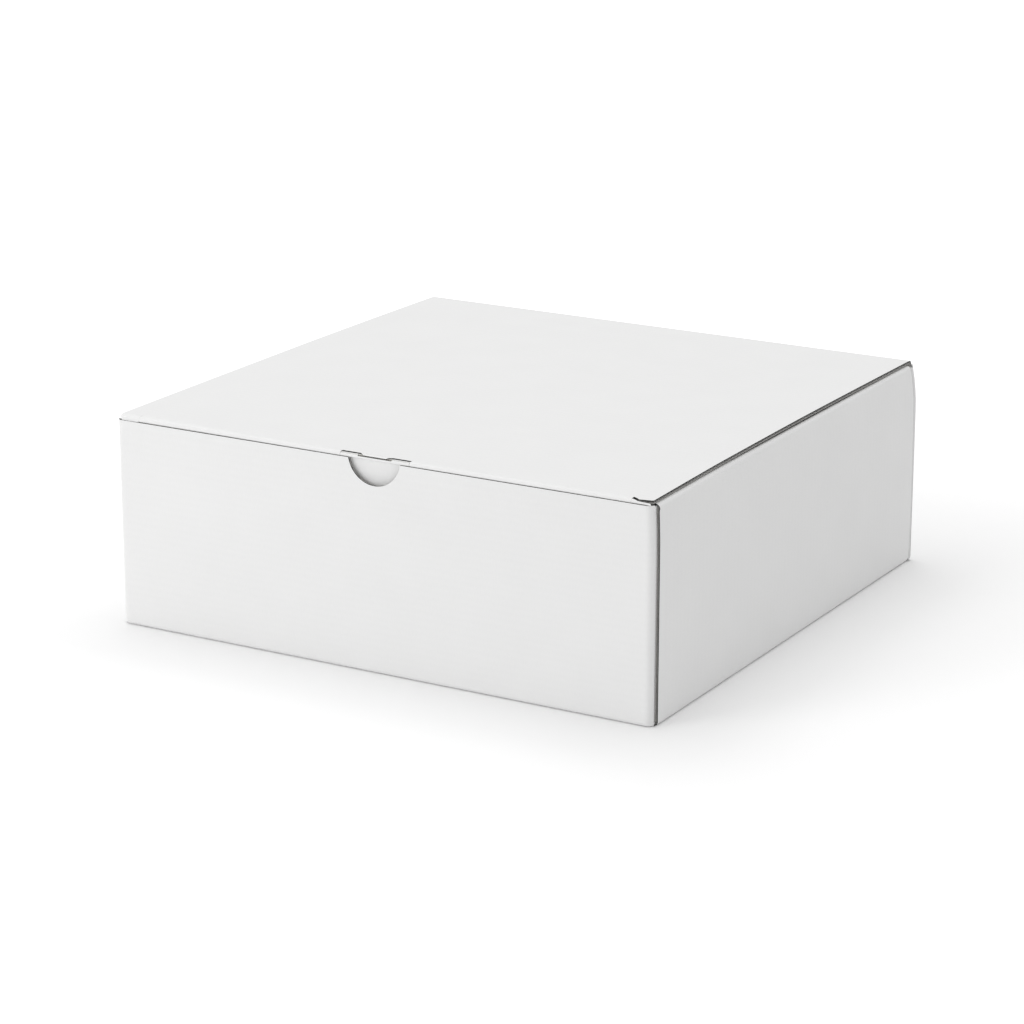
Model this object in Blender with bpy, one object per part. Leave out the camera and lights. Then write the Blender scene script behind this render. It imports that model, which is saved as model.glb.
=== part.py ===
"""A cake box: a roll-end, tuck-top carton folded from one die-cut sheet of white corrugated board.

Every panel between two creases is one object. Metres, +Z up, front towards -Y. The origin is the
centre of the base, on the surface that the box stands on.
"""

import math

import bmesh
import bpy
from mathutils import Matrix, Vector

# Outside sizes, measured at the creases
BOX_WIDTH = 0.260
BOX_DEPTH = 0.256
BOX_HEIGHT = 0.094

# The board and how it folds
BOARD = 0.0015
CLEARANCE = 0.0003
FOLD_RADIUS = 0.0014
FOLD_LIP = 0.0001
LID_CROWN = 0.0010
SIDE_BOW = 0.0008

# The front wall's thumb notch, part of a circle whose centre is above the wall's top edge
NOTCH_RADIUS = 0.0127
NOTCH_CENTRE_RISE = 0.0021
WALL_CORNER_RADIUS = 0.0012

# How far the front and rear walls' corner folds stand proud of the flaps beside them
WALL_FOLD_BULGE = 0.0013

# The walls' flaps, which the double side walls hold between them
DUST_FLAP_LENGTH = 0.100
DUST_FLAP_TAPER = 0.006
DUST_FLAP_CORNER = 0.008
SIDE_SETBACK = 0.0038
SIDE_CORNER_RADIUS = 0.0022
ROLLOVER_SETBACK = 0.0040

# The inner side walls' lock tabs, and the notches in the base that take them
TAB_WIDTH = 0.024
TAB_SPACING = 0.120
TAB_CHAMFER = 0.0008
TAB_PLAY = 0.0004
INNER_WALL_CORNER = 0.0030
INNER_WALL_END_GAP = 0.0015
BASE_CORNER_CLIP = 0.0030

# The lid, a little narrower at its hinge than at its front
LID_SETBACK = 0.0010
LID_FRONT_INSET = 0.0023
LID_REAR_INSET = 0.0036
LID_CORNER_RADIUS = 0.0010

# The tuck flap, which leans in so that it clears the front wall as the lid swings
TUCK_DEPTH = 0.0350
TUCK_CLEARANCE = 0.0003
TUCK_LEAN_DEG = 5.0
TUCK_CORNER_RADIUS = 0.014
TUCK_TAPER = 0.004
TUCK_SIDE_PLAY = 0.0006

# The die cuts along the lid's front crease: a free ear at each end, a thumb tongue in the middle
SLIT_KERF = 0.0003
LUG_DROP = 0.0006
EAR_LENGTH = 0.0061
EAR_HOOK_RUN = 0.0030
EAR_MOUTH = 0.0022
CENTRE_CUT_HALF = 0.0168
CENTRE_TICK = 0.0009
TONGUE_ROOT_HALF = 0.0079
TONGUE_TIP_HALF = 0.0060
SHOULDER_DROP = 0.0006

# How finely the curves are made
FOLD_SEGMENTS = 4
CORNER_SEGMENTS = 5
NOTCH_SEGMENTS = 20
LID_STATIONS = 14
SIDE_STATIONS = 8

WHITE_COAT = (0.80, 0.80, 0.79)
INNER_LINER = (0.74, 0.73, 0.70)

# Worked out from the sizes above
PITCH = BOARD + CLEARANCE
fold_radius = min(FOLD_RADIUS, BOARD - FOLD_LIP)
lid_underside = BOX_HEIGHT - BOARD
wall_top = lid_underside - CLEARANCE
inner_top = wall_top - PITCH
floor_top = BOARD + CLEARANCE
front_face = -BOX_DEPTH / 2
rear_face = BOX_DEPTH / 2
tuck_face = front_face + BOARD + TUCK_CLEARANCE
tuck_axis = Vector((0, tuck_face + BOARD, lid_underside))
lid_front = front_face + LID_SETBACK
slit_line = tuck_axis.y + SLIT_KERF
lid_axis = Vector((0, rear_face, BOX_HEIGHT))


def layer(count):
    """Distance from the middle of the box to the outer face of the side's board number count."""
    return BOX_WIDTH / 2 - count * PITCH


def clear_scene():
    for obj in list(bpy.data.objects):
        bpy.data.objects.remove(obj, do_unlink=True)


def board_material(name, colour, roughness):
    material = bpy.data.materials.new(name + "_board")
    material.use_nodes = True
    shader = material.node_tree.nodes["Principled BSDF"]
    shader.inputs["Base Color"].default_value = (*colour, 1)
    shader.inputs["Roughness"].default_value = roughness
    shader.inputs["Metallic"].default_value = 0
    return material


def fillet(before, corner, after, radius, segments):
    """Points of the arc that rounds a corner of an outline, or the corner itself if radius is 0."""
    corner = Vector(corner)
    to_before = Vector(before) - corner
    to_after = Vector(after) - corner
    if radius <= 0:
        return [tuple(corner)]
    half = to_before.angle(to_after) / 2
    reach = min(radius / math.tan(half), to_before.length / 2, to_after.length / 2)
    radius = reach * math.tan(half)
    start = corner + to_before.normalized() * reach
    end = corner + to_after.normalized() * reach
    centre = corner + (to_before.normalized() + to_after.normalized()).normalized() * (
        radius / math.sin(half)
    )
    sweep = math.pi - 2 * half
    turn = (start - centre).angle_signed(end - centre)
    direction = math.copysign(sweep, turn)
    points = []
    for i in range(segments + 1):
        spoke = (start - centre).copy()
        spoke.rotate(Matrix.Rotation(-direction * i / segments, 2))
        points.append(tuple(centre + spoke))
    return points


def rounded(corners, segments=CORNER_SEGMENTS):
    """An outline from (a, b, radius) corners, with an arc at each corner that has a radius."""
    points = []
    for i, (a, b, radius) in enumerate(corners):
        before = corners[i - 1][:2]
        after = corners[(i + 1) % len(corners)][:2]
        points += fillet(before, (a, b), after, radius, segments)
    return points


def mirrored(half):
    """A whole outline from its half at positive a, listed from one end of the middle line."""
    return half + [(-a, *rest) for a, *rest in reversed(half)]


def turned(outline, sign):
    """The outline as it is for sign 1, and seen from its other side for sign -1."""
    return [(a * sign, b) for a, b in outline]


def panel(name, outline, across, up, outer, colour, roughness=0.6):
    """A die-cut panel: the outline in the plane of across and up, through the point outer.

    The board's thickness goes back from there, against the cross product of across and up.
    """
    outward = across.cross(up)
    mesh = bmesh.new()
    front = [mesh.verts.new(outer + across * a + up * b) for a, b in outline]
    back = [mesh.verts.new(v.co - outward * BOARD) for v in front]
    mesh.faces.new(front)
    mesh.faces.new(list(reversed(back)))
    count = len(front)
    for i in range(count):
        j = (i + 1) % count
        mesh.faces.new((front[i], back[i], back[j], front[j]))
    bmesh.ops.recalc_face_normals(mesh, faces=mesh.faces)
    data = bpy.data.meshes.new(name)
    mesh.to_mesh(data)
    mesh.free()
    obj = bpy.data.objects.new(name, data)
    bpy.context.scene.collection.objects.link(obj)
    data.materials.append(board_material(name, colour, roughness))
    return obj


def round_folds(obj, on_fold):
    """Rounds the edges whose two ends both satisfy on_fold, as the board's outside does at a crease."""
    mesh = bmesh.new()
    mesh.from_mesh(obj.data)
    edges = [e for e in mesh.edges if all(on_fold(v.co) for v in e.verts)]
    bmesh.ops.bevel(
        mesh,
        geom=edges,
        offset=fold_radius,
        segments=FOLD_SEGMENTS,
        profile=0.5,
        affect="EDGES",
    )
    bmesh.ops.recalc_face_normals(mesh, faces=mesh.faces)
    mesh.to_mesh(obj.data)
    mesh.free()


def bow(obj, along, low, high, push, stations):
    """Bends a panel into a shallow arch between low and high along one axis, pushed at its middle."""
    mesh = bmesh.new()
    mesh.from_mesh(obj.data)
    for i in range(1, stations):
        station = along * (low + (high - low) * i / stations)
        geometry = mesh.verts[:] + mesh.edges[:] + mesh.faces[:]
        bmesh.ops.bisect_plane(mesh, geom=geometry, plane_co=station, plane_no=along, dist=1e-6)
    for v in mesh.verts:
        share = min(max((v.co.dot(along) - low) / (high - low), 0), 1)
        v.co += push * 4 * share * (1 - share)
    bmesh.ops.recalc_face_normals(mesh, faces=mesh.faces)
    mesh.to_mesh(obj.data)
    mesh.free()


def hinge_at(obj, axis_point):
    """Puts an object's origin on its hinge, leaving its shape where it is."""
    obj.data.transform(Matrix.Translation(-axis_point))
    obj.location = axis_point


def near(value, target):
    return abs(value - target) < 1e-6


X = Vector((1, 0, 0))
Y = Vector((0, 1, 0))
Z = Vector((0, 0, 1))


def base():
    """The bottom panel, with clipped corners and a notch at each lock tab."""
    wide = layer(1)
    deep = BOX_DEPTH / 2 - PITCH
    notch_floor = layer(3)
    half = [(wide - BASE_CORNER_CLIP, -deep, 0), (wide, -deep + BASE_CORNER_CLIP, 0)]
    for centre in (-TAB_SPACING / 2, TAB_SPACING / 2):
        low = centre - TAB_WIDTH / 2 - TAB_PLAY
        high = centre + TAB_WIDTH / 2 + TAB_PLAY
        half += [(wide, low, 0), (notch_floor, low, 0), (notch_floor, high, 0), (wide, high, 0)]
    half += [(wide, deep - BASE_CORNER_CLIP, 0), (wide - BASE_CORNER_CLIP, deep, 0)]
    panel("base", rounded(mirrored(half)), X, Y, Z * BOARD, INNER_LINER)


def notch_points():
    """The thumb notch from right to left, as an arc cut down into the front wall's top edge."""
    half_angle = math.acos(NOTCH_CENTRE_RISE / NOTCH_RADIUS)
    centre_height = wall_top + NOTCH_CENTRE_RISE
    points = []
    for i in range(NOTCH_SEGMENTS + 1):
        angle = half_angle * (1 - 2 * i / NOTCH_SEGMENTS)
        a = NOTCH_RADIUS * math.sin(angle)
        points.append((a, centre_height - NOTCH_RADIUS * math.cos(angle), 0))
    return points


def front_wall():
    """The front panel: folded up from the base, with a thumb notch in its top edge."""
    wide = layer(1) + WALL_FOLD_BULGE
    corners = [(-wide, 0, 0), (wide, 0, 0), (wide, wall_top, WALL_CORNER_RADIUS)]
    corners += notch_points()
    corners += [(-wide, wall_top, WALL_CORNER_RADIUS)]
    wall = panel("front_wall", rounded(corners), X, Z, Y * front_face, WHITE_COAT)

    def on_fold(point):
        at_edge = near(abs(point.x), wide) or near(point.z, 0)
        return near(point.y, front_face) and at_edge

    round_folds(wall, on_fold)


def rear_wall():
    """The rear panel, which carries the lid's hinge crease along its top edge."""
    wide = layer(1) + WALL_FOLD_BULGE
    corners = [(-wide, 0, 0), (wide, 0, 0), (wide, wall_top, 0), (-wide, wall_top, 0)]
    wall = panel("rear_wall", rounded(corners), -X, Z, Y * rear_face, WHITE_COAT)

    def on_fold(point):
        at_edge = near(abs(point.x), wide) or near(point.z, 0)
        return near(point.y, rear_face) and at_edge

    round_folds(wall, on_fold)


def dust_flap(side, end):
    """A flap of the front or rear wall, folded back along the side and hidden in the double wall."""
    names = {(-1, -1): "left_front", (1, -1): "right_front", (-1, 1): "left_rear", (1, 1): "right_rear"}
    start = BOX_DEPTH / 2 - PITCH
    tip = BOX_DEPTH / 2 - DUST_FLAP_LENGTH
    low = floor_top
    high = inner_top
    corners = [
        (start, low, 0),
        (start, high, 0),
        (tip, high - DUST_FLAP_TAPER, DUST_FLAP_CORNER),
        (tip, low + DUST_FLAP_TAPER, DUST_FLAP_CORNER),
    ]
    outline = turned(rounded(corners), side * end)
    name = "dust_flap_" + names[side, end]
    panel(name, outline, Y * side, Z, X * side * layer(1), WHITE_COAT)


def side_outer(side, name):
    """The outer side wall, folded up from the base and a little bowed outwards."""
    long = BOX_DEPTH / 2 - SIDE_SETBACK
    corners = [
        (-long, 0, 0),
        (long, 0, 0),
        (long, wall_top, SIDE_CORNER_RADIUS),
        (-long, wall_top, SIDE_CORNER_RADIUS),
    ]
    face = side * BOX_WIDTH / 2
    wall = panel("side_outer_" + name, rounded(corners), Y * side, Z, X * face, WHITE_COAT)

    def on_fold(point):
        at_edge = near(point.z, 0) or near(point.z, wall_top)
        return near(point.x, face) and at_edge

    round_folds(wall, on_fold)
    bow(wall, Z, 0, wall_top, X * side * SIDE_BOW, SIDE_STATIONS)


def side_rollover(side, name):
    """The narrow web on top of the double side wall, between its two creases."""
    long = BOX_DEPTH / 2 - ROLLOVER_SETBACK
    outer = side * layer(1)
    inner = side * (layer(2) - BOARD)
    corners = [(outer, -long, 0), (outer, long, 0), (inner, long, 0), (inner, -long, 0)]
    web = panel("side_rollover_" + name, rounded(corners), X, Y, Z * wall_top, WHITE_COAT)

    def on_fold(point):
        return near(point.x, inner) and near(point.z, wall_top)

    round_folds(web, on_fold)


def side_inner(side, name):
    """The inner side wall, rolled over the dust flaps and locked into the base by two tabs."""
    front_end = tuck_axis.y + TUCK_DEPTH * math.sin(math.radians(TUCK_LEAN_DEG)) + PITCH
    rear_end = rear_face - BOARD - INNER_WALL_END_GAP
    tab_foot = floor_top - BOARD
    corners = [(front_end, floor_top, INNER_WALL_CORNER)]
    for centre in (-TAB_SPACING / 2, TAB_SPACING / 2):
        low = centre - TAB_WIDTH / 2
        high = centre + TAB_WIDTH / 2
        corners += [
            (low, floor_top, 0),
            (low, tab_foot + TAB_CHAMFER, 0),
            (low + TAB_CHAMFER, tab_foot, 0),
            (high - TAB_CHAMFER, tab_foot, 0),
            (high, tab_foot + TAB_CHAMFER, 0),
            (high, floor_top, 0),
        ]
    corners += [
        (rear_end, floor_top, INNER_WALL_CORNER),
        (rear_end, inner_top, INNER_WALL_CORNER),
        (front_end, inner_top, INNER_WALL_CORNER),
    ]
    outline = turned(rounded(corners), side)
    panel("side_inner_" + name, outline, Y * side, Z, X * side * layer(2), WHITE_COAT)


def lid():
    """The top panel: arched a little, hinged at the rear, die cut along its front crease."""
    front_half = BOX_WIDTH / 2 - LID_FRONT_INSET
    rear_half = BOX_WIDTH / 2 - LID_REAR_INSET
    ear = front_half - EAR_LENGTH
    half = [
        (TONGUE_TIP_HALF, lid_front, 0),
        (TONGUE_ROOT_HALF, slit_line, 0),
        (CENTRE_CUT_HALF, slit_line, 0),
        (CENTRE_CUT_HALF + CENTRE_TICK, slit_line + CENTRE_TICK, 0),
        (CENTRE_CUT_HALF + SLIT_KERF, slit_line - SLIT_KERF, 0),
        (CENTRE_CUT_HALF + SLIT_KERF, lid_front, 0),
        (ear - EAR_MOUTH, lid_front, 0),
        (ear - EAR_HOOK_RUN, slit_line, 0),
        (ear, lid_front, 0),
        (front_half, lid_front, LID_CORNER_RADIUS),
        (rear_half, rear_face, LID_CORNER_RADIUS),
    ]
    top = panel("lid", rounded(mirrored(half)), X, Y, Z * BOX_HEIGHT, WHITE_COAT)

    def on_fold(point):
        at_front = near(point.y, lid_front) and abs(point.x) < ear - EAR_MOUTH / 2
        return near(point.z, BOX_HEIGHT) and (at_front or near(point.y, rear_face))

    round_folds(top, on_fold)
    bow(top, Y, slit_line, rear_face, Z * LID_CROWN, LID_STATIONS)
    hinge_at(top, lid_axis)
    return top


def tuck_flap(top):
    """The flap that tucks behind the front wall, with the two lugs that the die cuts set free."""
    wide = layer(2) - BOARD - TUCK_SIDE_PLAY
    crease = -CLEARANCE
    raised = BOARD - LUG_DROP
    foot = BOARD - TUCK_DEPTH
    fold_end = BOX_WIDTH / 2 - LID_FRONT_INSET - EAR_LENGTH - EAR_HOOK_RUN
    half = [
        (wide - TUCK_TAPER, foot, TUCK_CORNER_RADIUS),
        (wide, crease - SHOULDER_DROP, 0),
        (fold_end + SHOULDER_DROP, crease - SHOULDER_DROP, 0),
        (fold_end, crease, 0),
        (CENTRE_CUT_HALF - SLIT_KERF, crease, 0),
        (CENTRE_CUT_HALF - SLIT_KERF, raised, 0),
        (TONGUE_ROOT_HALF + SLIT_KERF, raised, 0),
        (TONGUE_ROOT_HALF + SLIT_KERF, crease, 0),
    ]
    outline = rounded(mirrored(half))
    flap = panel("tuck_flap", outline, X, Z, -Y * BOARD, WHITE_COAT)
    flap.parent = top
    flap.location = tuck_axis - lid_axis
    flap.rotation_euler.x = math.radians(TUCK_LEAN_DEG)


def build():
    clear_scene()
    base()
    front_wall()
    rear_wall()
    for side, name in ((-1, "left"), (1, "right")):
        side_outer(side, name)
        side_rollover(side, name)
        side_inner(side, name)
        for end in (-1, 1):
            dust_flap(side, end)
    tuck_flap(lid())


build()
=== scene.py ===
import math

import bmesh
import bpy
from mathutils import Matrix, Vector


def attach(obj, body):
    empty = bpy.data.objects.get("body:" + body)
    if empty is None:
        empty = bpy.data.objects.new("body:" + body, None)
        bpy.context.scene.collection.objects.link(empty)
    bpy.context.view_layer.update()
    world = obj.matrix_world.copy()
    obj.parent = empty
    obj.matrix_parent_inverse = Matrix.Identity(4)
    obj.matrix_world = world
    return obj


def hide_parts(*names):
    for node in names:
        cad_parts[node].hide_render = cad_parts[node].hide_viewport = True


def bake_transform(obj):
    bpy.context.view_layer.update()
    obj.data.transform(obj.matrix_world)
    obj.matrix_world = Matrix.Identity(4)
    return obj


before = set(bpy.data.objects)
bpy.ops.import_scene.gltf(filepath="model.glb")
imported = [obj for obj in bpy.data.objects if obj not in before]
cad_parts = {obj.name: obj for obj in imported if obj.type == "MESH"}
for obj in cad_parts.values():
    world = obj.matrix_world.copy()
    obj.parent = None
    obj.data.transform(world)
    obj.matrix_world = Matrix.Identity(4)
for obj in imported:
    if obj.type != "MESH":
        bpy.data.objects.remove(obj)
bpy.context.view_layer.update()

# ---------------------------------------------------------------------------------------------
# Base. The bottom panel of the carton. Like every panel it is cut from one sheet of fluted board:
# a clay-coated white liner outside, a plain white liner inside, and a fluted paper glued between.
# Each is drawn flat in millimetres, as in the blank, then folded into its place.
BOARD = 1.5
LINER = 0.35
FLUTING_PAPER = 0.2
FLUTE_PITCH = 3.2
POINTS_PER_FLUTE = 8
FOLD_RADIUS = 2.0
QUARTER_FOLD = FOLD_RADIUS * math.pi / 2

FLOOR_HALF_WIDTH = 128.0
FLOOR_HALF_DEPTH = 126.0
FLOOR_CORNER_CLIP = 0.3
TAB_CENTRE = 60.0
TAB_SLOT_HALF = 12.3
TAB_SLOT_DEPTH = 3.5


def paper_surface():
    """Clouding, fibres and the faint washboard that the flutes press into a liner."""
    group = bpy.data.node_groups.new("paper_surface", "ShaderNodeTree")
    sockets = group.interface
    for name, kind, value in (
        ("Sheet", "NodeSocketVector", None),
        ("Paper", "NodeSocketColor", (0.8, 0.8, 0.8, 1)),
        ("Shade", "NodeSocketColor", (0.7, 0.7, 0.7, 1)),
        ("Clouding", "NodeSocketFloat", 0.5),
        ("Fibres", "NodeSocketFloat", 0.5),
        ("Washboard", "NodeSocketFloat", 0.2),
        ("Flute Pitch", "NodeSocketFloat", 0.0032),
    ):
        socket = sockets.new_socket(name=name, in_out="INPUT", socket_type=kind)
        if value is not None:
            socket.default_value = value
    sockets.new_socket(name="Color", in_out="OUTPUT", socket_type="NodeSocketColor")
    sockets.new_socket(name="Gloss Change", in_out="OUTPUT", socket_type="NodeSocketFloat")
    sockets.new_socket(name="Relief", in_out="OUTPUT", socket_type="NodeSocketFloat")
    nodes = group.nodes
    link = group.links.new
    given = nodes.new("NodeGroupInput")
    result = nodes.new("NodeGroupOutput")

    def maths(operation, first, second=None):
        node = nodes.new("ShaderNodeMath")
        node.operation = operation
        for place, value in enumerate((first, second)):
            if value is None:
                continue
            if isinstance(value, (int, float)):
                node.inputs[place].default_value = value
            else:
                link(value, node.inputs[place])
        return node.outputs[0]

    def noise(vector, scale, detail):
        node = nodes.new("ShaderNodeTexNoise")
        node.inputs["Scale"].default_value = scale
        node.inputs["Detail"].default_value = detail
        link(vector, node.inputs["Vector"])
        return node.outputs["Fac"]

    clouds = noise(given.outputs["Sheet"], 38, 3)
    drawn_out = nodes.new("ShaderNodeVectorMath")
    drawn_out.operation = "MULTIPLY"
    drawn_out.inputs[1].default_value = (0.3, 1, 1)
    link(given.outputs["Sheet"], drawn_out.inputs[0])
    fibres = noise(drawn_out.outputs[0], 1500, 4)
    parts = nodes.new("ShaderNodeSeparateXYZ")
    link(given.outputs["Sheet"], parts.inputs[0])
    turns = maths("DIVIDE", parts.outputs["X"], given.outputs["Flute Pitch"])
    wave = maths("COSINE", maths("MULTIPLY", turns, 2 * math.pi))
    ridge = maths("MULTIPLY_ADD", wave, 0.5)
    ridge.node.inputs[2].default_value = 0.5
    cloud_share = maths("MULTIPLY", maths("SUBTRACT", clouds, 0.35), given.outputs["Clouding"])
    fibre_share = maths("MULTIPLY", maths("SUBTRACT", fibres, 0.4), given.outputs["Fibres"])
    wave_share = maths("MULTIPLY", ridge, given.outputs["Washboard"])
    shade = maths("ADD", maths("ADD", cloud_share, fibre_share), wave_share)
    mix = nodes.new("ShaderNodeMix")
    mix.data_type = "RGBA"
    link(shade, mix.inputs["Factor"])
    link(given.outputs["Paper"], mix.inputs["A"])
    link(given.outputs["Shade"], mix.inputs["B"])
    link(mix.outputs["Result"], result.inputs["Color"])
    link(maths("ADD", cloud_share, fibre_share), result.inputs["Gloss Change"])
    link(maths("ADD", maths("MULTIPLY", fibres, 0.3), wave_share), result.inputs["Relief"])
    return group


PAPER_SURFACE = paper_surface()


def paper(name, colour, shade, roughness, clouding, fibres, washboard, relief_mm):
    material = bpy.data.materials.new(name)
    material.use_nodes = True
    nodes = material.node_tree.nodes
    link = material.node_tree.links.new
    shader = nodes["Principled BSDF"]
    sheet = nodes.new("ShaderNodeUVMap")
    sheet.uv_map = "blank"
    surface = nodes.new("ShaderNodeGroup")
    surface.node_tree = PAPER_SURFACE
    surface.inputs["Paper"].default_value = (*colour, 1)
    surface.inputs["Shade"].default_value = (*shade, 1)
    surface.inputs["Clouding"].default_value = clouding
    surface.inputs["Fibres"].default_value = fibres
    surface.inputs["Washboard"].default_value = washboard
    surface.inputs["Flute Pitch"].default_value = FLUTE_PITCH / 1000
    link(sheet.outputs["UV"], surface.inputs["Sheet"])
    link(surface.outputs["Color"], shader.inputs["Base Color"])
    sheen = nodes.new("ShaderNodeMapRange")
    sheen.inputs["To Min"].default_value = roughness - 0.05
    sheen.inputs["To Max"].default_value = roughness + 0.1
    link(surface.outputs["Gloss Change"], sheen.inputs["Value"])
    link(sheen.outputs["Result"], shader.inputs["Roughness"])
    shader.inputs["Specular IOR Level"].default_value = 0.22
    bump = nodes.new("ShaderNodeBump")
    bump.inputs["Strength"].default_value = 0.6
    bump.inputs["Distance"].default_value = relief_mm / 1000
    link(surface.outputs["Relief"], bump.inputs["Height"])
    link(bump.outputs["Normal"], shader.inputs["Normal"])
    return material


WHITE_COAT = paper("white_coat", (0.8, 0.8, 0.798), (0.74, 0.74, 0.738), 0.6, 0.5, 0.5, 0.08, 0.02)
INNER_LINER = paper("inner_liner", (0.74, 0.73, 0.7), (0.64, 0.625, 0.59), 0.7, 0.6, 0.8, 0.2, 0.03)
FLUTING = paper("fluting_paper", (0.32, 0.317, 0.31), (0.24, 0.236, 0.23), 0.8, 0.5, 0.9, 0.0, 0.02)
# The liners' cut edges are a grey paper edge darkened to near black: painted shade for the dark lines in
# the slits, gaps and raw edges.
SHADED_CUT_EDGE = paper("shaded_cut_edge", (0.035, 0.035, 0.034), (0.02, 0.02, 0.019), 0.85, 0.5, 0.9, 0.0, 0.02)


def fluted_board():
    """The sheet of board in a flat outline: two liners, and a fluted paper cut to the outline."""
    tree = bpy.data.node_groups.new("fluted_board", "GeometryNodeTree")
    tree.interface.new_socket(name="Outline", in_out="INPUT", socket_type="NodeSocketGeometry")
    for name in ("Board Thickness", "Liner Thickness", "Fluting Paper", "Flute Pitch"):
        tree.interface.new_socket(name=name, in_out="INPUT", socket_type="NodeSocketFloat")
    tree.interface.new_socket(name="Points Per Flute", in_out="INPUT", socket_type="NodeSocketInt")
    for name in ("Outer Face", "Inner Face", "Shaded Cut Edge", "Fluting"):
        tree.interface.new_socket(name=name, in_out="INPUT", socket_type="NodeSocketMaterial")
    tree.interface.new_socket(name="Board", in_out="OUTPUT", socket_type="NodeSocketGeometry")
    nodes = tree.nodes
    link = tree.links.new
    given = nodes.new("NodeGroupInput").outputs
    result = nodes.new("NodeGroupOutput")

    def node(kind, **settings):
        made = nodes.new(kind)
        for key, value in settings.items():
            setattr(made, key, value)
        return made

    def feed(target, value):
        if isinstance(value, (int, float)):
            target.default_value = value
        else:
            link(value, target)

    def maths(operation, *values):
        made = node("ShaderNodeMath", operation=operation)
        for place, value in enumerate(values):
            feed(made.inputs[place], value)
        return made.outputs[0]

    def vector(x, y, z):
        made = node("ShaderNodeCombineXYZ")
        for place, value in enumerate((x, y, z)):
            feed(made.inputs[place], value)
        return made.outputs[0]

    def thicken(face, low, height):
        """A closed layer over a flat face, from low up by height."""
        moved = node("GeometryNodeTransform")
        link(face, moved.inputs["Geometry"])
        link(vector(0, 0, low), moved.inputs["Translation"])
        raised = node("GeometryNodeExtrudeMesh", mode="FACES")
        link(moved.outputs[0], raised.inputs["Mesh"])
        raised.inputs["Individual"].default_value = False
        link(vector(0, 0, 1), raised.inputs["Offset"])
        feed(raised.inputs["Offset Scale"], height)
        turned = node("GeometryNodeFlipFaces")
        link(moved.outputs[0], turned.inputs["Mesh"])
        joined = node("GeometryNodeJoinGeometry")
        link(raised.outputs["Mesh"], joined.inputs[0])
        link(turned.outputs[0], joined.inputs[0])
        merged = node("GeometryNodeMergeByDistance")
        merged.inputs["Distance"].default_value = 0.0005
        link(joined.outputs[0], merged.inputs["Geometry"])
        return merged.outputs[0]

    def painted(geometry, material, chosen=None):
        made = node("GeometryNodeSetMaterial")
        link(geometry, made.inputs["Geometry"])
        link(material, made.inputs["Material"])
        if chosen is not None:
            link(chosen, made.inputs["Selection"])
        return made.outputs[0]

    normal_z = node("ShaderNodeSeparateXYZ")
    link(node("GeometryNodeInputNormal").outputs[0], normal_z.inputs[0])
    upward = maths("GREATER_THAN", normal_z.outputs["Z"], 0.5)
    downward = maths("LESS_THAN", normal_z.outputs["Z"], -0.5)
    thickness = given["Board Thickness"]
    liner = given["Liner Thickness"]
    # the outer liner's cut edges take the near-black cut-edge colour, painted shade for the dark gap
    # lines
    outer = thicken(given["Outline"], maths("MULTIPLY", liner, -1), liner)
    outer = painted(painted(outer, given["Shaded Cut Edge"]), given["Outer Face"], upward)
    outer = painted(outer, given["Inner Face"], downward)
    inner = thicken(given["Outline"], maths("MULTIPLY", thickness, -1), liner)
    inner = painted(painted(inner, given["Fluting"]), given["Inner Face"], upward)
    inner = painted(inner, given["Inner Face"], downward)

    # the fluted paper: a grid over the outline's bounds, waved across, thickened and cut to shape
    limits = node("GeometryNodeBoundBox")
    link(given["Outline"], limits.inputs["Geometry"])
    low = node("ShaderNodeSeparateXYZ")
    high = node("ShaderNodeSeparateXYZ")
    link(limits.outputs["Min"], low.inputs[0])
    link(limits.outputs["Max"], high.inputs[0])
    pitch = given["Flute Pitch"]
    flutes = maths("ADD", maths("CEIL", maths("DIVIDE", maths(
        "SUBTRACT", high.outputs["X"], low.outputs["X"]), pitch)), 2)
    first = maths("MULTIPLY", maths("SUBTRACT", maths("FLOOR", maths(
        "DIVIDE", low.outputs["X"], pitch)), 0.5), pitch)
    across = maths("MULTIPLY", flutes, pitch)
    along = maths("ADD", maths("SUBTRACT", high.outputs["Y"], low.outputs["Y"]), 4)
    grid = node("GeometryNodeMeshGrid")
    link(across, grid.inputs["Size X"])
    link(along, grid.inputs["Size Y"])
    link(maths("ADD", maths("MULTIPLY", flutes, given["Points Per Flute"]), 1),
         grid.inputs["Vertices X"])
    grid.inputs["Vertices Y"].default_value = 2
    middle = maths("DIVIDE", maths("ADD", high.outputs["Y"], low.outputs["Y"]), 2)
    set_out = node("GeometryNodeTransform")
    link(grid.outputs["Mesh"], set_out.inputs["Geometry"])
    link(vector(maths("ADD", first, maths("DIVIDE", across, 2)), middle, 0),
         set_out.inputs["Translation"])
    where = node("ShaderNodeSeparateXYZ")
    link(node("GeometryNodeInputPosition").outputs[0], where.inputs[0])
    angle = maths("MULTIPLY", maths("DIVIDE", where.outputs["X"], pitch), 2 * math.pi)
    room = maths("SUBTRACT", maths("SUBTRACT", thickness, maths("MULTIPLY", liner, 2)),
                 given["Fluting Paper"])
    swing = maths("MULTIPLY", maths("SINE", angle), maths("MULTIPLY", room, 0.5))
    centre = maths("MULTIPLY", maths("ADD", thickness, given["Fluting Paper"]), -0.5)
    waved = node("GeometryNodeSetPosition")
    link(set_out.outputs[0], waved.inputs["Geometry"])
    link(vector(0, 0, maths("ADD", swing, centre)), waved.inputs["Offset"])
    ribbon = thicken(waved.outputs[0], 0, given["Fluting Paper"])
    cutter = thicken(given["Outline"], maths("MULTIPLY", thickness, -2),
                     maths("MULTIPLY", thickness, 3))
    cut = node("GeometryNodeMeshBoolean", operation="INTERSECT", solver="EXACT")
    link(ribbon, cut.inputs["Mesh 2"])
    link(cutter, cut.inputs["Mesh 2"])
    fluting = painted(cut.outputs["Mesh"], given["Fluting"])

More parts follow.
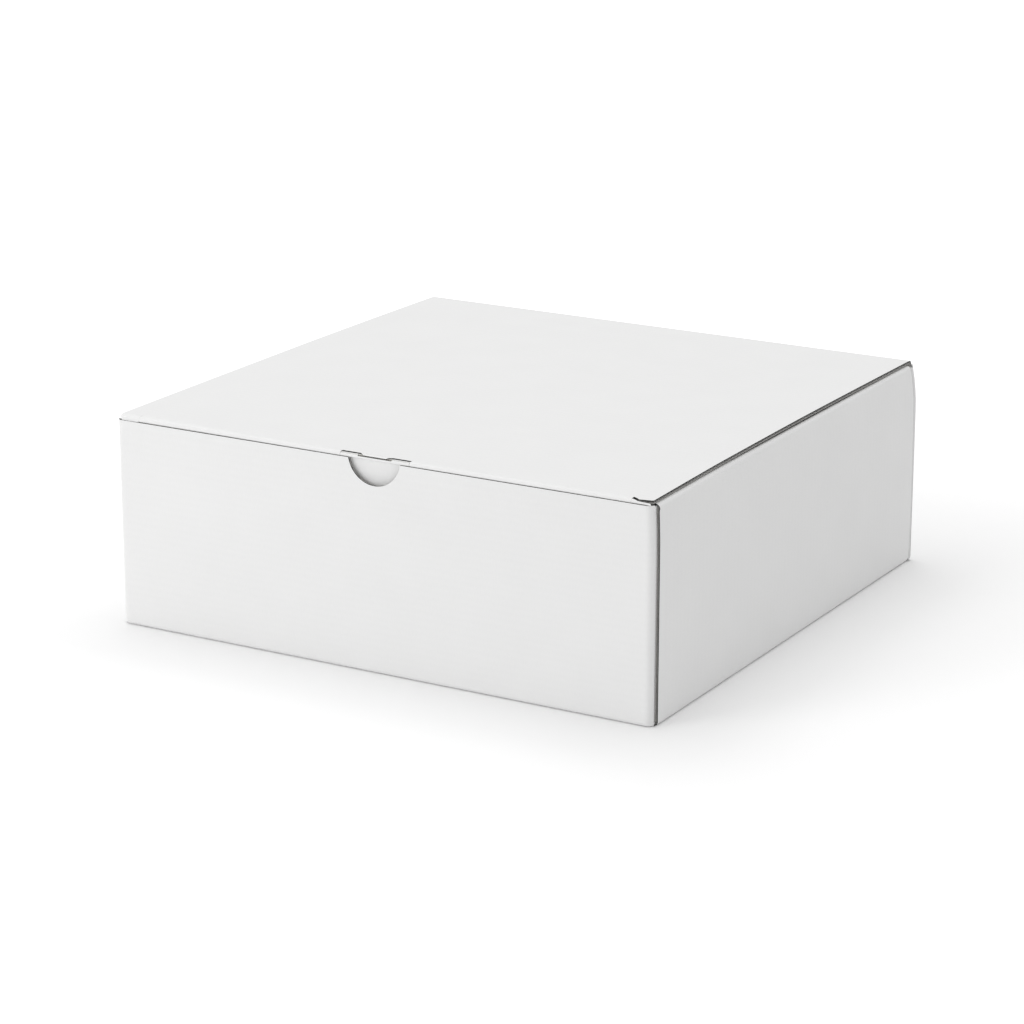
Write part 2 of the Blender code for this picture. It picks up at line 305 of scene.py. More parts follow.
    whole = node("GeometryNodeJoinGeometry")
    for layer in (outer, inner, fluting):
        link(layer, whole.inputs[0])
    real = node("GeometryNodeRealizeInstances")
    link(whole.outputs[0], real.inputs[0])
    link(real.outputs[0], result.inputs["Board"])
    return tree


FLUTED_BOARD = fluted_board()


def flat_piece(name, outline, across):
    """A flat face with the given outline. Its flutes run along Y, so it is turned if they are across."""
    mesh = bpy.data.meshes.new(name)
    shape = bmesh.new()
    if across:
        outline = [(b, -a) for a, b in outline]
    shape.faces.new([shape.verts.new((a, b, 0)) for a, b in outline])
    shape.normal_update()
    if shape.faces[:][0].normal.z < 0:
        bmesh.ops.reverse_faces(shape, faces=shape.faces[:])
    shape.to_mesh(mesh)
    shape.free()
    piece = bpy.data.objects.new(name, mesh)
    bpy.context.scene.collection.objects.link(piece)
    return piece


def cut_board(name, outline, across=False):
    """A panel of fluted board, still flat: X and Y in the blank, its coated face up at z = 0."""
    piece = flat_piece(name, outline, across)
    maker = piece.modifiers.new("board", "NODES")
    maker.node_group = FLUTED_BOARD
    values = {
        "Board Thickness": BOARD, "Liner Thickness": LINER, "Fluting Paper": FLUTING_PAPER,
        "Flute Pitch": FLUTE_PITCH, "Points Per Flute": POINTS_PER_FLUTE,
        "Outer Face": WHITE_COAT, "Inner Face": INNER_LINER, "Shaded Cut Edge": SHADED_CUT_EDGE,
        "Fluting": FLUTING,
    }
    for socket in FLUTED_BOARD.interface.items_tree:
        if socket.in_out == "INPUT" and socket.name in values:
            maker[socket.identifier] = values[socket.name]
    view = bpy.context.evaluated_depsgraph_get()
    made = bpy.data.meshes.new_from_object(piece.evaluated_get(view))
    piece.modifiers.clear()
    piece.data = made
    return piece


def fold(piece, place, cuts_a=(), cuts_b=(), across=False):
    """Bends a flat panel into its place, with extra edges along cuts_a and cuts_b to bend at."""
    shape = bmesh.new()
    shape.from_mesh(piece.data)
    sheet = shape.loops.layers.uv.new("blank")
    for face in shape.faces:
        for loop in face.loops:
            loop[sheet].uv = loop.vert.co.xy / 1000
    for cuts, direction in ((cuts_a, (0, -1) if across else (1, 0)),
                            (cuts_b, (1, 0) if across else (0, 1))):
        for cut in cuts:
            bmesh.ops.bisect_plane(
                shape, geom=shape.verts[:] + shape.edges[:] + shape.faces[:], dist=0.0002,
                plane_co=(direction[0] * cut, direction[1] * cut, 0),
                plane_no=(*direction, 0))

    def settle(x, y, z):
        a, b = (-y, x) if across else (x, y)
        point, outward = place(a, b)
        return (Vector(point) + Vector(outward) * z) / 1000

    centre = sum((vert.co for vert in shape.verts), Vector()) / len(shape.verts)
    x, y = centre.x, centre.y
    side_x = settle(x + 0.1, y, 0) - settle(x, y, 0)
    side_y = settle(x, y + 0.1, 0) - settle(x, y, 0)
    upward = settle(x, y, 0.1) - settle(x, y, 0)
    turned = side_x.cross(side_y).dot(upward) < 0
    for vert in shape.verts:
        vert.co = settle(*vert.co)
    if turned:
        bmesh.ops.reverse_faces(shape, faces=shape.faces[:])
    shape.to_mesh(piece.data)
    shape.free()
    piece.data.shade_smooth()
    piece.data.set_sharp_from_angle(angle=math.radians(38))
    return piece


def finish_panel(piece, body, node=None):
    if node:
        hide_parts(node)
    if body:
        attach(piece, body)
    return piece


def both_halves(half):
    """An outline from its right half, drawn from the front or bottom to the rear or top."""
    return half + [(-a, b) for a, b in reversed(half)]


def spaced(low, high, step):
    count = max(1, math.ceil((high - low) / step))
    return [low + (high - low) * i / count for i in range(count + 1)]


def smooth_step(value, low, high):
    share = min(1, max(0, (value - low) / (high - low)))
    return share * share * (3 - 2 * share)


def base_outline():
    half = [(FLOOR_HALF_WIDTH - FLOOR_CORNER_CLIP, -FLOOR_HALF_DEPTH),
            (FLOOR_HALF_WIDTH, -FLOOR_HALF_DEPTH + FLOOR_CORNER_CLIP)]
    for middle in (-TAB_CENTRE, TAB_CENTRE):
        inner = FLOOR_HALF_WIDTH - TAB_SLOT_DEPTH
        half += [(FLOOR_HALF_WIDTH, middle - TAB_SLOT_HALF), (inner, middle - TAB_SLOT_HALF),
                 (inner, middle + TAB_SLOT_HALF), (FLOOR_HALF_WIDTH, middle + TAB_SLOT_HALF)]
    half += [(FLOOR_HALF_WIDTH, FLOOR_HALF_DEPTH - FLOOR_CORNER_CLIP),
             (FLOOR_HALF_WIDTH - FLOOR_CORNER_CLIP, FLOOR_HALF_DEPTH)]
    return both_halves(half)


base = fold(cut_board("base_board", base_outline(), True), lambda a, b: ((a, b, 0), (0, 0, -1)),
            across=True)
finish_panel(base, "carton", "base")

# ---------------------------------------------------------------------------------------------
# Front and rear walls. The front wall folds up from the base and has a half-round thumb notch
# die-cut in its top edge. The rear wall is the same without the notch, and carries the lid.
# Both turn round the corners into the dust flaps.
FRONT_FACE = 128.0
WALL_TOP = 92.15
REAR_WALL_TOP = 91.2
FLAP_FACE = 128.2
CORNER_FACE = {(-1, -1): 130.3, (-1, 1): 128.7, (1, -1): 130.2, (1, 1): 130.2}
CORNER_RADIUS = {-1: 3.0, 1: 1.4}
TOP_LEAN = {(-1, -1): 0.0, (-1, 1): 0.6, (1, -1): 0.9, (1, 1): 2.1}
TUCK_IN_RUN = 3.0
WALL_FOOT = QUARTER_FOLD + 0.2
CORNER_FOOT = 2.0
CORNER_TOP = {-1: WALL_TOP, 1: 92.9}
WALL_CORNER_RADIUS = 1.2
NOTCH_RADIUS = 12.7
NOTCH_CENTRE_RISE = 2.1


def face_line(u, w, heading, steps):
    """A board's face seen end on. A step is (length, 0) for a straight run, or (radius, degrees)."""
    runs = []
    for size, turn in steps:
        runs.append((u, w, heading, size, turn))
        if turn == 0:
            u += size * math.cos(heading)
            w += size * math.sin(heading)
            continue
        side = math.copysign(size, turn)
        u -= side * math.sin(heading)
        w += side * math.cos(heading)
        heading += math.radians(turn)
        u += side * math.sin(heading)
        w -= side * math.cos(heading)

    def at(s):
        for number, (u0, w0, facing, size, turn) in enumerate(runs):
            length = size if turn == 0 else size * math.radians(abs(turn))
            if s <= length or number == len(runs) - 1:
                break
            s -= length
        if turn == 0 or s < 0:
            return u0 + s * math.cos(facing), w0 + s * math.sin(facing), facing
        side = math.copysign(size, turn)
        later = facing + s / side
        return (u0 + side * (math.sin(later) - math.sin(facing)),
                w0 - side * (math.cos(later) - math.cos(facing)), later)

    marks = []
    gone = 0
    for u0, w0, facing, size, turn in runs:
        length = size if turn == 0 else size * math.radians(abs(turn))
        if turn:
            marks += spaced(gone, gone + length, size * math.radians(15))
        gone += length
    return at, marks


END_LINE, END_MARKS = face_line(FLOOR_HALF_DEPTH, 0, 0, [(FOLD_RADIUS, 90), (90, 0)])


def corner_fold(end, side):
    """Where the corner fold starts and ends in the blank. It stands a little proud of the flap."""
    start = CORNER_FACE[end, side] - CORNER_RADIUS[end]
    return start, start + CORNER_RADIUS[end] * math.pi / 2


def leaning_in(w, lean):
    """How far a wall's top leans in at height w. The lean starts about 20 mm below the top."""
    return lean * max(0, (w - 72) / 20) ** 2


def end_wall_place(end):
    """Places for a wall across the front (end -1) or rear (end +1), and the flaps round its corners."""
    radius = CORNER_RADIUS[end]

    def place(a, b):
        u, w, heading = END_LINE(b)
        side = 1 if a > 0 else -1
        start, finish = corner_fold(end, side)
        over = abs(a) - start
        lean = leaning_in(w, TOP_LEAN[end, side])
        if over <= 0:
            x = a * (1 - lean / start)
            return (x, end * u, w), (0, end * math.sin(heading), -math.cos(heading))
        turn = min(over / radius, math.pi / 2)
        beyond = max(0, abs(a) - finish)
        tuck_in = min(1, beyond / TUCK_IN_RUN)
        tuck_in = tuck_in * tuck_in * (3 - 2 * tuck_in) * (CORNER_FACE[end, side] - FLAP_FACE)
        x = start + radius * math.sin(turn) - tuck_in - lean
        y = u - radius * (1 - math.cos(turn)) - beyond
        outward = Vector((side * math.sin(turn), end * math.cos(turn) * math.sin(heading),
                          -math.cos(turn) * math.cos(heading)))
        return (side * x, end * y, w), outward
    return place


def end_wall_half(end, side, top):
    """One half of a wall's outline, from the foot up to its top corner."""
    top_b = QUARTER_FOLD + top - FOLD_RADIUS
    corner_b = QUARTER_FOLD + CORNER_TOP[end] - FOLD_RADIUS
    edge = corner_fold(end, side)[1]
    half = [(128.0, 0), (128.6, 0.5), (129.2, 1.0), (129.8, 1.6), (130.2, CORNER_FOOT),
            (edge, CORNER_FOOT)]
    radius = WALL_CORNER_RADIUS
    for step in range(7):
        angle = math.radians(90 * step / 6)
        half.append((edge - radius + radius * math.cos(angle),
                     corner_b - radius + radius * math.sin(angle)))
    if corner_b > top_b:
        half += [(129.4, corner_b), (129.3, top_b)]
    return [(side * a, b) for a, b in half]


def end_wall_outline(end, top, notch):
    outline = end_wall_half(end, 1, top)
    if notch:
        centre_b = QUARTER_FOLD + top - FOLD_RADIUS + NOTCH_CENTRE_RISE
        start = math.asin(NOTCH_CENTRE_RISE / NOTCH_RADIUS)
        for step in range(39):
            angle = -start - (math.pi - 2 * start) * step / 38
            outline.append((NOTCH_RADIUS * math.cos(angle), centre_b + NOTCH_RADIUS * math.sin(angle)))
    return outline + end_wall_half(end, -1, top)[::-1]


def corner_marks(end):
    marks = []
    for side in (-1, 1):
        start, finish = corner_fold(end, side)
        marks += [side * mark for mark in spaced(start, finish, CORNER_RADIUS[end] * math.radians(12))]
    return marks


def coat_crushed_corner(board):
    """The rear top corners are crushed in folding, and the coat wraps over the raw edge there."""
    coat = board.data.materials.find("white_coat")
    for face in board.data.polygons:
        x, y, z = face.center
        if abs(x) > 0.1262 and y > 0.1225 and z > 0.0895:
            face.material_index = coat


LEAN_MARKS = [QUARTER_FOLD + height - FOLD_RADIUS for height in (72, 77, 82, 87)]
FOOT_MARKS = END_MARKS + [WALL_FOOT + 1]
for end, end_name, top in ((-1, "front", WALL_TOP), (1, "rear", REAR_WALL_TOP)):
    wall = cut_board(f"{end_name}_wall_board", end_wall_outline(end, top, end < 0), True)
    fold(wall, end_wall_place(end), corner_marks(end), FOOT_MARKS + LEAN_MARKS, True)
    coat_crushed_corner(wall)
    finish_panel(wall, "carton", f"{end_name}_wall")

# ---------------------------------------------------------------------------------------------
# Dust flaps. Four tapered flaps with rounded ends, turned in from the front and rear walls and
# held between the two panels of each side wall.
DUST_FLAP_LENGTH = 97.0
DUST_FLAP_TOP = QUARTER_FOLD + 90.0 - FOLD_RADIUS
DUST_FLAP_TAPER = 6.0
DUST_FLAP_CORNER = 8.0


def rounded_corner(before, corner, after, radius, count=6):
    """Points of an arc that rounds off a corner."""
    corner = Vector(corner)
    to_before = (Vector(before) - corner).normalized()
    to_after = (Vector(after) - corner).normalized()
    half = to_before.angle(to_after) / 2
    middle = corner + (to_before + to_after).normalized() * radius / math.sin(half)
    first = corner + to_before * radius / math.tan(half) - middle
    last = corner + to_after * radius / math.tan(half) - middle
    points = []
    for step in range(count + 1):
        points.append(middle + first.slerp(last, step / count) * radius)
    return [(point.x, point.y) for point in points]


def dust_flap_outline(side, end):
    root = corner_fold(end, side)[1]
    tip = root + DUST_FLAP_LENGTH
    low, high = WALL_FOOT, DUST_FLAP_TOP
    taper = DUST_FLAP_TAPER
    points = [(root, CORNER_FOOT), (root + 1, CORNER_FOOT), (root + 4, low)]
    points += rounded_corner((root + 4, low),(tip, low + taper), (tip, high - taper),
                             DUST_FLAP_CORNER)
    points += rounded_corner((tip, low + taper), (tip, high - taper), (root + 5, high),
                             DUST_FLAP_CORNER)
    points += [(root + 5, high), (root + 2, high + 1.6), (root, high + 1.6)]
    return [(side * a, b) for a, b in points]


for side, side_name in ((-1, "left"), (1, "right")):
    for end, end_name in ((-1, "front"), (1, "rear")):
        name = f"dust_flap_{side_name}_{end_name}"
        flap = cut_board(name + "_board", dust_flap_outline(side, end), True)
        root = corner_fold(end, side)[1]
        bends = [side * (root + TUCK_IN_RUN * step / 6) for step in range(1, 7)]
        fold(flap, end_wall_place(end), bends, LEAN_MARKS, True)
        coat_crushed_corner(flap)
        finish_panel(flap, "carton", name)

# ---------------------------------------------------------------------------------------------
# Outer side walls. They fold up from the base, with their raw ends beside the front wall's corner
# fold, and bulge a little between the creases. Their flutes stand upright.
SIDE_FACE = 130.0
SIDE_HALF_LENGTH = 124.2
SIDE_BOW = 0.55
SIDE_TOP = 92.2
SIDE_FOLD_TOP = SIDE_TOP - FOLD_RADIUS
INNER_FACE = 124.9
SIDE_LINE, SIDE_MARKS = face_line(FLOOR_HALF_WIDTH, 0, 0, [
    (FOLD_RADIUS, 90), (SIDE_FOLD_TOP - FOLD_RADIUS, 0), (FOLD_RADIUS, 90),
    (SIDE_FACE - INNER_FACE - 2 * FOLD_RADIUS, 0), (FOLD_RADIUS, 90), (88.4, 0)])
OUTER_TOP = QUARTER_FOLD + SIDE_FOLD_TOP - FOLD_RADIUS
ROLLOVER_END = OUTER_TOP + 2 * QUARTER_FOLD + SIDE_FACE - INNER_FACE - 2 * FOLD_RADIUS
ROLLOVER_HALF_LENGTH = 123.7
ROLLOVER_LIFT = 0.22
ROLLOVER_REAR_LIFT = 0.55
INNER_FOOT = ROLLOVER_END + 88.4


def side_place(side):
    def place(a, b):
        u, w, heading = SIDE_LINE(b)
        bow = 0
        if b < OUTER_TOP + 1.5 and 0 < w < SIDE_TOP:
            bow = SIDE_BOW * math.sin(math.pi * (w / SIDE_TOP) ** 0.63)
            bow *= 0.5 + 0.5 * a / SIDE_HALF_LENGTH
        rearward = smooth_step(a, -SIDE_HALF_LENGTH, -60)
        lean = TOP_LEAN[-1, side] * (1 - rearward) + TOP_LEAN[1, side] * rearward
        bow -= leaning_in(w, lean) * min(1, max(0, (ROLLOVER_END - b) / (ROLLOVER_END - OUTER_TOP)))
        share = a / SIDE_HALF_LENGTH
        lift = ROLLOVER_LIFT * (1 - share ** 4) + ROLLOVER_REAR_LIFT * (0.5 + 0.5 * share) ** 2
        w += lift * min(1, max(0, (b - 40) / 40), max(0, (INNER_FOOT - b) / 80))
        return (side * (u + bow), a, w), (side * math.sin(heading), 0, -math.cos(heading))
    return place


def side_outer_outline():
    edge = SIDE_HALF_LENGTH
    half = [(edge - 0.4, 0), (edge - 0.1, 1.0), (edge, 2.4),
            (edge, OUTER_TOP - 1.2), (edge - 0.1, OUTER_TOP - 0.4), (ROLLOVER_HALF_LENGTH, OUTER_TOP)]
    return both_halves(half)


BOW_MARKS = spaced(7, OUTER_TOP - 4, 9)
LENGTH_MARKS = spaced(-120, -60, 10) + spaced(-40, 120, 20)
for side, side_name in ((-1, "left"), (1, "right")):
    wall = cut_board(f"side_outer_{side_name}_board", side_outer_outline())
    fold(wall, side_place(side), LENGTH_MARKS, SIDE_MARKS + BOW_MARKS)
    finish_panel(wall, "carton", f"side_outer_{side_name}")

# ---------------------------------------------------------------------------------------------
# Roll-over webs and inner side walls. Two creases a board's width apart turn the side wall over
# the dust flaps and down inside the box, where two tabs snap into slots in the base.
INNER_FRONT = -119.8
INNER_REAR = 122.6
TAB_HALF = 12.0
TAB_LENGTH = 1.5
TAB_CHAMFER = 0.8


def side_inner_outline():
    points = [(INNER_REAR, ROLLOVER_END)]
    points += rounded_corner(points[0], (INNER_REAR, INNER_FOOT), (72, INNER_FOOT), 3)
    for middle in (TAB_CENTRE, -TAB_CENTRE):
        points += [(middle + TAB_HALF, INNER_FOOT),
                   (middle + TAB_HALF, INNER_FOOT + TAB_LENGTH - TAB_CHAMFER),
                   (middle + TAB_HALF - TAB_CHAMFER, INNER_FOOT + TAB_LENGTH),
                   (middle - TAB_HALF + TAB_CHAMFER, INNER_FOOT + TAB_LENGTH),
                   (middle - TAB_HALF, INNER_FOOT + TAB_LENGTH - TAB_CHAMFER),
                   (middle - TAB_HALF, INNER_FOOT)]
    points += rounded_corner((-72, INNER_FOOT), (INNER_FRONT, INNER_FOOT),
                             (INNER_FRONT, ROLLOVER_END), 3)
    points.append((INNER_FRONT, ROLLOVER_END))
    return points


def rollover_outline():
    return [(-ROLLOVER_HALF_LENGTH, OUTER_TOP), (ROLLOVER_HALF_LENGTH, OUTER_TOP),
            (ROLLOVER_HALF_LENGTH, ROLLOVER_END), (INNER_FRONT, ROLLOVER_END),
            (-121.4, ROLLOVER_END - 2.4), (-ROLLOVER_HALF_LENGTH, ROLLOVER_END - 4.4)]


for side, side_name in ((-1, "left"), (1, "right")):
    web = cut_board(f"side_rollover_{side_name}_board", rollover_outline())
    fold(web, side_place(side), LENGTH_MARKS, SIDE_MARKS)
    finish_panel(web, "carton", f"side_rollover_{side_name}")
    wall = cut_board(f"side_inner_{side_name}_board", side_inner_outline())
    fold(wall, side_place(side), LENGTH_MARKS)
    finish_panel(wall, "carton", f"side_inner_{side_name}")

# ---------------------------------------------------------------------------------------------
# Lid. The top panel, a little crowned, narrower at the rear. Its front edge is die-cut: a tongue
# in the middle, two lug slits beside it, and an ear at each corner that a hooked slit sets free.
# Its left front corner springs up a little, and the ear there curls down over the wall.
LID_TOP = 94.0
LID_CREST = 0.9
LID_FRONT_LIFT = 0.6
LID_REAR_LIFT = 0.82
LID_REAR = 126.0
CREASE_START = -124.7
LID_EDGE = {-1: [(128.5, CREASE_START), (128.3, 20), (127.6, 75), (126.5, LID_REAR)],
            1: [(127.6, CREASE_START), (127.2, -100), (126.7, -70), (126.4, 10), (126.7, LID_REAR)]}
EARS = {-1: [(118.62, -124.9), (118.62, -129.05), (127.4, -129.05), (128.0, -128.0), (128.4, -126.8)],
        1: [(118.9, -125.0), (119.7, -125.4), (120.7, -126.0), (121.4, -126.6), (121.8, -127.0),
            (127.0, -125.9), (127.5, -125.6), (127.6, -125.1)]}
SLIT_LINE = -125.45
TUCK_LINE, TUCK_MARKS = face_line(-CREASE_START, LID_TOP, 0, [
    (1.65, 0), (1.4, -90), (0.35, -85), (0.95, 0), (0.35, 80), (40, 0)])
TONGUE_TIP = 2.9
TONGUE_TIP_HALF = 5.9
TONGUE_ROOT_HALF = 7.9
LUG_OUTER = 16.6
FOLD_INNER = 16.75
FOLD_OUTER = 118.6
EAR_LINE, EAR_MARKS = face_line(-CREASE_START, 0, 0, [(1.65, 0), (1.4, -90), (5, 0)])
FOLD_END = 5.85


def front_lift(a):
    return LID_FRONT_LIFT * smooth_step(-a, 20, 125)


def rear_lift(a):
    return LID_REAR_LIFT - 0.0008 * a


def lid_place(a, b):
    if b < CREASE_START and abs(a) < 20:
        u, w, heading = TUCK_LINE(CREASE_START - b)
        spring = 0.3 * smooth_step(CREASE_START - b, 0.8, TONGUE_TIP)
        return (a, -u - 0.3 * spring, w + spring), (0, math.sin(heading), math.cos(heading))
    front, rear = front_lift(a), rear_lift(a)
    if b < CREASE_START and a < 0:
        u, w, heading = EAR_LINE(CREASE_START - b)
        w += front * (1 - smooth_step(CREASE_START - b, 0.5, FOLD_END))
        return (a, -u, LID_TOP + w), (0, math.sin(heading), math.cos(heading))
    length = LID_REAR - CREASE_START
    share = min(1, max(0, (b - CREASE_START) / length))
    arch = LID_CREST - (front + rear) / 2
    rise = front * (1 - share) + rear * share + 4 * arch * share * (1 - share)
    slope = (rear - front + 4 * arch * (1 - 2 * share)) / length
    return (a, b, LID_TOP + rise), Vector((0, -slope, 1)).normalized()


def lid_half(side):
    """One half of the lid's outline, from the tongue round the ear to the rear edge."""
    tip = CREASE_START - TONGUE_TIP
    half = [(TONGUE_TIP_HALF - 0.5, tip), (TONGUE_TIP_HALF, tip + 0.3),
            (TONGUE_ROOT_HALF - 0.4, SLIT_LINE - 0.3), (TONGUE_ROOT_HALF, SLIT_LINE),
            (LUG_OUTER, SLIT_LINE), (LUG_OUTER + 0.2, SLIT_LINE - 0.1),
            (FOLD_INNER - 0.1, CREASE_START), (FOLD_OUTER, CREASE_START)]
    half += EARS[side] + LID_EDGE[side]
    return [(side * a, b) for a, b in half]


LID_MARKS_A = spaced(-120, -24, 16)
LID_MARKS_B = (spaced(-108, 120, 12) + [CREASE_START]
               + [CREASE_START - mark for mark in TUCK_MARKS + EAR_MARKS if mark < 4])
lid = fold(cut_board("lid_board", lid_half(1) + lid_half(-1)[::-1], True), lid_place,
           LID_MARKS_A, LID_MARKS_B, True)
finish_panel(lid, "lid", "lid")

# ---------------------------------------------------------------------------------------------
# Tuck flap. It turns down from the lid's front edge and slides in behind the front wall. Two lugs
# stand up from it through the lid's slits, and it narrows to round corners at its foot.
FLAP_FOOT = FOLD_END + 33.0
FLAP_HALF = 124.3
FLAP_FOOT_HALF = 120.3
FLAP_CORNER = 14.0
LUG_INNER = 8.2
LUG_TIP = 1.05
LUG_DROP = 0.45


def tuck_place(a, b):
    u, w, heading = TUCK_LINE(b)
    drop = 0
    if b < FOLD_END:
        drop = LUG_DROP * smooth_step(3.0 - b, 0, 2)
    return (a, -u + 0.3 * drop, w - drop), (0, math.sin(heading), math.cos(heading))


def tuck_outline():
    half = [(LUG_INNER - 0.25, TONGUE_TIP + 0.35), (LUG_INNER, TONGUE_TIP), (LUG_INNER, LUG_TIP),
            (LUG_OUTER - 0.1, LUG_TIP), (LUG_OUTER + 0.2, FOLD_END - 0.6), (FOLD_INNER, FOLD_END),
            (FOLD_OUTER, FOLD_END), (FOLD_OUTER + 1.2, FOLD_END + 0.9),
            (FLAP_HALF, FOLD_END + 0.9)]
    half += rounded_corner((FLAP_HALF, FOLD_END + 1), (FLAP_FOOT_HALF, FLAP_FOOT), (0, FLAP_FOOT),
                           FLAP_CORNER, 8)
    return both_halves(half)


tuck_flap = fold(cut_board("tuck_flap_board", tuck_outline(), True), tuck_place, [],
                 [mark for mark in TUCK_MARKS if mark > LUG_TIP], True)
finish_panel(tuck_flap, "tuck_flap", "tuck_flap")

# ---------------------------------------------------------------------------------------------
# Creases. The lid's rear crease joins it to the rear wall, and the front crease, in two lengths
# between the die cuts, joins it to the tuck flap. They are bent to the closed box's shape.
REAR_LINE, REAR_MARKS = face_line(FRONT_FACE, REAR_WALL_TOP, math.pi / 2, [
    (LID_TOP - FOLD_RADIUS - REAR_WALL_TOP, 0), (FOLD_RADIUS, 90), (1, 0)])
REAR_CREASE_LENGTH = LID_TOP - FOLD_RADIUS - REAR_WALL_TOP + QUARTER_FOLD


def rear_crease_place(a, b):
    u, w, heading = REAR_LINE(b)
    lift = rear_lift(a) * smooth_step(b, 0, REAR_CREASE_LENGTH)
    return (a, u, w + lift), (0, math.sin(heading), -math.cos(heading))


rear_left, rear_right = -LID_EDGE[-1][-1][0], LID_EDGE[1][-1][0]
rear_crease = cut_board("lid_crease_board", [
    (rear_left, 0), (rear_right, 0), (rear_right, REAR_CREASE_LENGTH),
    (rear_left, REAR_CREASE_LENGTH)], True)
fold(rear_crease, rear_crease_place, LID_MARKS_A, REAR_MARKS + [1], True)
finish_panel(rear_crease, None)
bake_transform(rear_crease)


def cut_liner(name, outline):
    """The coated liner alone, flat."""
    piece = flat_piece(name, outline, False)
    shape = bmesh.new()
    shape.from_mesh(piece.data)
    top = shape.faces[:]
    low = bmesh.ops.extrude_face_region(shape, geom=top)["geom"]
    for element in low:
        if isinstance(element, bmesh.types.BMVert):
            element.co.z -= LINER
    bmesh.ops.recalc_face_normals(shape, faces=shape.faces[:])
    for face in shape.faces:
        # index 2, the cut edges, takes the near-black cut-edge colour, painted shade for the dark gap
        # lines
        face.material_index = 0 if face.normal.z > 0.5 else (1 if face.normal.z < -0.5 else 2)
    shape.to_mesh(piece.data)
    shape.free()
    for material in (WHITE_COAT, INNER_LINER, SHADED_CUT_EDGE):
        piece.data.materials.append(material)
    return piece


def tuck_crease_place(a, b):
    u, w, heading = TUCK_LINE(b)
    lift = front_lift(a) * (1 - smooth_step(b, 0.5, FOLD_END))
    return (a, -u, w + lift), (0, math.sin(heading), math.cos(heading))


for side, side_name in ((-1, "left"), (1, "right")):
    half = [(FOLD_INNER, 0), (FOLD_OUTER, 0), (FOLD_OUTER, FOLD_END), (FOLD_INNER, FOLD_END)]
    strip = cut_liner(f"tuck_crease_{side_name}", [(side * a, b) for a, b in half])
    fold(strip, tuck_crease_place, LID_MARKS_A, TUCK_MARKS)
    finish_panel(strip, None)
    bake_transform(strip)

# Band under the right ear. Creasing tears the coated liner past the ear's slit, and a strip of it
# stays bent down in front of the ear's raw edge.
ear_band = cut_liner("ear_band_right", [
    (118.65, 2.2), (119.4, 2.3), (121.6, 3.0), (127.0, 3.25), (127.5, 3.6), (127.5, 4.5),
    (121.4, 4.9), (118.65, 4.9)])
fold(ear_band, tuck_crease_place, [], TUCK_MARKS)
finish_panel(ear_band, "lid")

# ---------------------------------------------------------------------------------------------
# Studio. A white floor and soft light from the front left, as for a catalogue picture.
FLOOR_SIZE = 6.0
# camera-only floor glow: painted light that rises with distance from the box
GLOW_START = 0.03
GLOW_FULL = 1.0
GLOW = 1.0


def studio_floor():
    mesh = bpy.data.meshes.new("studio_floor")
    half = FLOOR_SIZE / 2
    mesh.from_pydata([(-half, -half, 0), (half, -half, 0), (half, half, 0), (-half, half, 0)], [],
                     [(0, 1, 2, 3)])
    floor = bpy.data.objects.new("studio_floor", mesh)
    bpy.context.scene.collection.objects.link(floor)
    material = bpy.data.materials.new("studio_white")
    material.use_nodes = True
    nodes = material.node_tree.nodes
    link = material.node_tree.links.new
    nodes.clear()
    output = nodes.new("ShaderNodeOutputMaterial")
    paint = nodes.new("ShaderNodeBsdfDiffuse")
    paint.inputs["Color"].default_value = (0.92, 0.92, 0.92, 1)
    # Seen only by the camera, the floor glows more the farther it lies from the box: painted light that
    # turns the far floor white and keeps the box's shadow close to it.
    glow = nodes.new("ShaderNodeEmission")
    where = nodes.new("ShaderNodeTexCoord")
    either_side = nodes.new("ShaderNodeVectorMath")
    either_side.operation = "ABSOLUTE"
    link(where.outputs["Object"], either_side.inputs[0])
    beyond = nodes.new("ShaderNodeVectorMath")
    beyond.operation = "SUBTRACT"
    beyond.inputs[1].default_value = (0.13, 0.13, 0)
    link(either_side.outputs["Vector"], beyond.inputs[0])
    outside = nodes.new("ShaderNodeVectorMath")
    outside.operation = "MAXIMUM"
    link(beyond.outputs["Vector"], outside.inputs[0])
    distance = nodes.new("ShaderNodeVectorMath")
    distance.operation = "LENGTH"
    link(outside.outputs["Vector"], distance.inputs[0])
    rise = nodes.new("ShaderNodeMapRange")
    rise.inputs["From Min"].default_value = GLOW_START
    rise.inputs["From Max"].default_value = GLOW_FULL
    rise.inputs["To Max"].default_value = GLOW
    link(distance.outputs["Value"], rise.inputs["Value"])
    link(rise.outputs["Result"], glow.inputs["Strength"])
    both = nodes.new("ShaderNodeAddShader")
    link(paint.outputs[0], both.inputs[0])
    link(glow.outputs[0], both.inputs[1])
    path = nodes.new("ShaderNodeLightPath")
    mix = nodes.new("ShaderNodeMixShader")
    link(path.outputs["Is Camera Ray"], mix.inputs["Fac"])
    link(paint.outputs[0], mix.inputs[1])
    link(both.outputs[0], mix.inputs[2])
    link(mix.outputs[0], output.inputs["Surface"])
    mesh.materials.append(material)


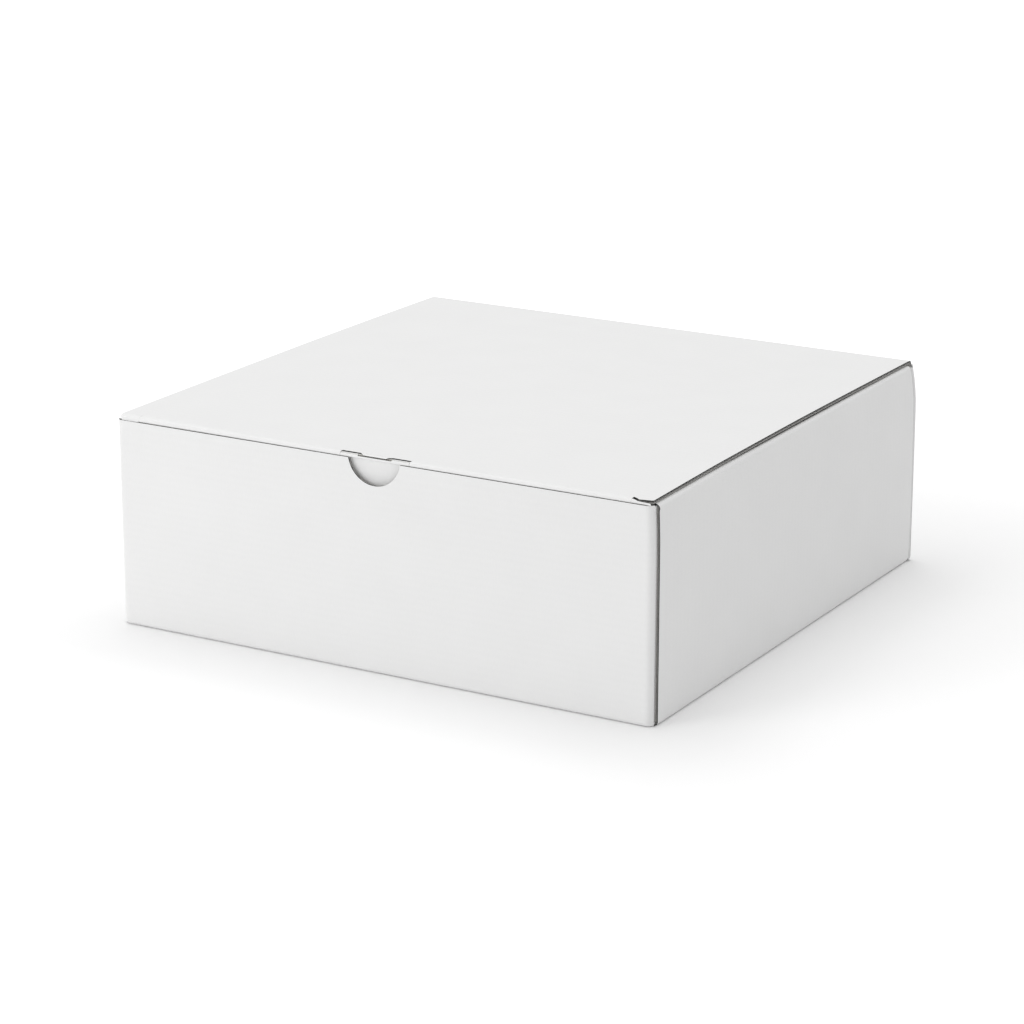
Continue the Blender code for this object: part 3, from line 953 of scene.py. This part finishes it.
def studio_light():
    world = bpy.context.scene.world or bpy.data.worlds.new("studio")
    bpy.context.scene.world = world
    world.use_nodes = True
    nodes = world.node_tree.nodes
    link = world.node_tree.links.new
    nodes.clear()
    output = nodes.new("ShaderNodeOutputWorld")
    seen = nodes.new("ShaderNodeBackground")
    seen.inputs["Color"].default_value = (1, 1, 1, 1)
    seen.inputs["Strength"].default_value = 1.0
    light = nodes.new("ShaderNodeBackground")
    light.inputs["Color"].default_value = (1, 1, 1, 1)
    light.inputs["Strength"].default_value = 0.691
    path = nodes.new("ShaderNodeLightPath")
    mix = nodes.new("ShaderNodeMixShader")
    link(path.outputs["Is Camera Ray"], mix.inputs["Fac"])
    link(light.outputs[0], mix.inputs[1])
    link(seen.outputs[0], mix.inputs[2])
    link(mix.outputs[0], output.inputs["Surface"])
    for name, place, size, power in (("overhead", (-0.3, 0.4, 2.6), 2.6, 26.9),
                                     ("front_left", (-1.0, -1.45, 0.55), 1.0, 8.5)):
        lamp = bpy.data.lights.new(name, "AREA")
        lamp.shape = "DISK"
        lamp.size = size
        lamp.energy = power
        holder = bpy.data.objects.new(name, lamp)
        bpy.context.scene.collection.objects.link(holder)
        holder.location = place
        aim = Vector((0, 0, 0.05)) - Vector(place)
        holder.rotation_euler = aim.to_track_quat("-Z", "Y").to_euler()


def studio_camera():
    """Camera from the perspective of the box's edges: 30 degrees to the right, 17 degrees up."""
    turn, lift = math.radians(30.05), math.radians(16.93)
    back = Vector((math.sin(turn) * math.cos(lift), -math.cos(turn) * math.cos(lift),
                   math.sin(lift)))
    right = Vector((math.cos(turn), math.sin(turn), 0))
    upward = back.cross(right)
    place = right * -0.00774 + upward * 0.03522 + back * 1.46626
    lens = bpy.data.cameras.new("camera")
    lens.sensor_width = 36
    lens.lens = 3266 / 1024 * 36
    lens.clip_start = 0.05
    camera = bpy.data.objects.new("camera", lens)
    bpy.context.scene.collection.objects.link(camera)
    camera.matrix_world = Matrix((
        (right.x, upward.x, back.x, place.x), (right.y, upward.y, back.y, place.y),
        (right.z, upward.z, back.z, place.z), (0, 0, 0, 1)))
    bpy.context.scene.camera = camera


studio_floor()
studio_light()
studio_camera()
bpy.context.scene.view_settings.view_transform = "Standard"

bpy.context.view_layer.update()
